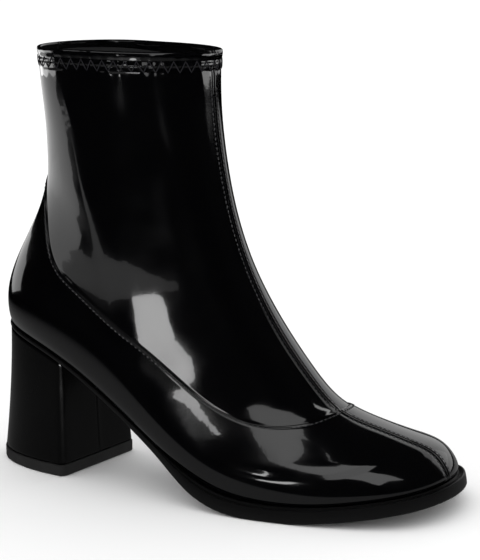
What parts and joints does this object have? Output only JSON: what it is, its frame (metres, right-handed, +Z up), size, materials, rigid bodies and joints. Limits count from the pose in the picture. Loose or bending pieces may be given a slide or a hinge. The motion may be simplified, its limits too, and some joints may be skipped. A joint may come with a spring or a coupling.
{
  "type": "ankle boot",
  "caption": "Patent stretch ankle boot with a rounded toe, a curved vamp seam, a fitted shaft open at the collar and a high block heel; right shoe, standing empty.",
  "frame": {"origin": "centre of the boot's plan, on the floor that the tread and the heel lift rest on", "axes": "+X forward to the toe, +Y across to the inner side of the foot, +Z up"},
  "size_m": [0.2444, 0.104, 0.2104],
  "materials": {
    "patent_upper": "black patent, wet gloss",
    "insole_sock": "matt black sock",
    "outsole_rubber": "satin black",
    "heel_wrap": "semi-gloss black wrap",
    "lift_rubber": "matt black"
  },
  "bodies": {
    "root": {"upper": "patent_upper", "insole": "insole_sock", "outsole": "outsole_rubber", "heel_block": "heel_wrap", "heel_lift": "lift_rubber"}
  },
  "joints": []
}
